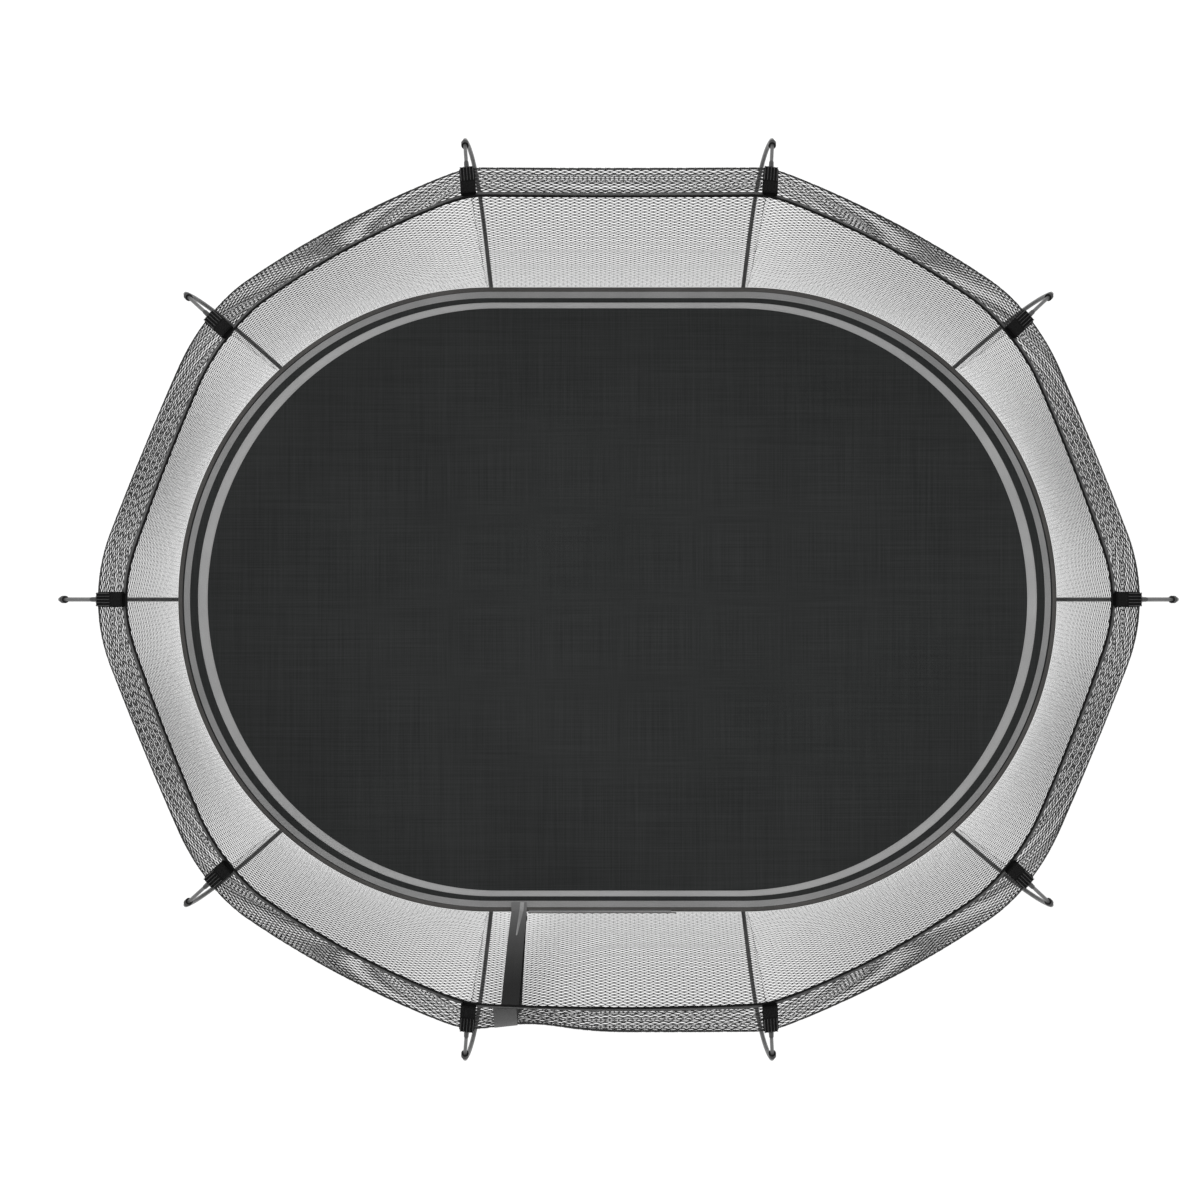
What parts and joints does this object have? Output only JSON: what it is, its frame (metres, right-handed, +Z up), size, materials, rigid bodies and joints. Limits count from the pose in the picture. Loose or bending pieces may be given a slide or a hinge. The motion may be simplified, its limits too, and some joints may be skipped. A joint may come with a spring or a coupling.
{
  "type": "trampoline",
  "caption": "Oval springless garden trampoline with a rod-sprung jumping mat, a bowed-rod safety net and a zipped net door.",
  "frame": {"origin": "centre of the footprint at floor level", "axes": "+X along the oval's long side, +Y away from the door side, +Z up"},
  "size_m": [4.077, 3.3378, 2.39],
  "materials": {
    "frame_paint": "satin powder coat",
    "zinc_steel": "zinc plated",
    "foot_rubber": "matt",
    "net_rod_composite": "satin pultruded composite",
    "mat_rod_composite": "satin pultruded composite",
    "black_plastic": "fine grain",
    "mat_weave": "tight woven",
    "stripe_webbing": "webbing",
    "border_webbing": "webbing",
    "net_mesh": "open knitted mesh",
    "pocket_fabric": "ribbed webbing",
    "hem_binding": "bound edge",
    "cord_black": "braided",
    "strap_webbing": "webbing",
    "light_tape": "reflective tape",
    "zip_black": "moulded coil"
  },
  "bodies": {
    "frame": {"door_strap": "strap_webbing", "door_zip": "zip_black", "foot_pads": "foot_rubber", "leg_bolts": "zinc_steel", "leg_left_front": "frame_paint", "leg_left_middle": "frame_paint", "leg_left_rear": "frame_paint", "leg_right_front": "frame_paint", "leg_right_middle": "frame_paint", "leg_right_rear": "frame_paint", "leg_stubs": "frame_paint", "mat_rods_left": "mat_rod_composite", "mat_rods_right": "mat_rod_composite", "net_collar": "net_mesh", "net_hem": "hem_binding", "net_pockets": "pocket_fabric", "net_rod_brackets": "frame_paint", "net_rod_corner_front_left": "net_rod_composite", "net_rod_corner_front_right": "net_rod_composite", "net_rod_corner_rear_left": "net_rod_composite", "net_rod_corner_rear_right": "net_rod_composite", "net_rod_end_left": "net_rod_composite", "net_rod_end_right": "net_rod_composite", "net_rod_side_front_left": "net_rod_composite", "net_rod_side_front_right": "net_rod_composite", "net_rod_side_rear_left": "net_rod_composite", "net_rod_side_rear_right": "net_rod_composite", "net_top_cord": "cord_black", "net_wall_corner_front_left": "net_mesh", "net_wall_corner_front_right": "net_mesh", "net_wall_corner_rear_left": "net_mesh", "net_wall_corner_rear_right": "net_mesh", "net_wall_front": "net_mesh", "net_wall_left_front": "net_mesh", "net_wall_left_rear": "net_mesh", "net_wall_rear": "net_mesh", "net_wall_right_front": "net_mesh", "net_wall_right_rear": "net_mesh", "ring_bend_front_left": "frame_paint", "ring_bend_front_right": "frame_paint", "ring_bend_rear_left": "frame_paint", "ring_bend_rear_right": "frame_paint", "ring_side_front": "frame_paint", "ring_side_rear": "frame_paint", "ring_sleeves": "frame_paint", "rod_ferrules": "black_plastic", "rod_necks": "black_plastic", "rod_sockets": "black_plastic", "sleeve_rivets": "zinc_steel", "strap_streak": "light_tape", "upper_rods": "net_rod_composite"},
    "mat": {"jumping_mat": "mat_weave", "mat_stripe_inner": "stripe_webbing", "mat_stripe_outer": "stripe_webbing", "mat_border": "border_webbing", "edge_cleats": "black_plastic"},
    "door_flap": {"door_flap": "net_mesh", "flap_hem": "light_tape"},
    "zip_slider": {"zip_slider": "black_plastic"},
    "zip_pull": {"zip_pull": "black_plastic"}
  },
  "joints": [
    {"name": "mat_bounce", "type": "slide", "parent": "frame", "child": "mat", "axis": [0, 0, 1], "range_m": [-0.12, 0], "stiffness_N_per_m": 6000, "springref_m": 0.06, "deforming": ["mat_rods_left", "mat_rods_right"]},
    {"name": "flap_hinge", "type": "hinge", "parent": "frame", "child": "door_flap", "pos_m": [0.236, -1.20649, 0.88537], "axis": [-0.4509, -0.2226, 0.8643], "range_deg": [0, 110]},
    {"name": "zip_slide", "type": "slide", "parent": "frame", "child": "zip_slider", "axis": [0, -0.2494, 0.9684], "range_m": [0, 1]},
    {"name": "zip_pull_hinge", "type": "hinge", "parent": "zip_slider", "child": "zip_pull", "pos_m": [-0.353, -1.23116, 0.92043], "axis": [-1, 0, 0], "range_deg": [0, 100]}
  ],
  "couplings": [
    {"joint": "zip_slide", "follows": "flap_hinge", "m_per_rad": 0.5208}
  ]
}
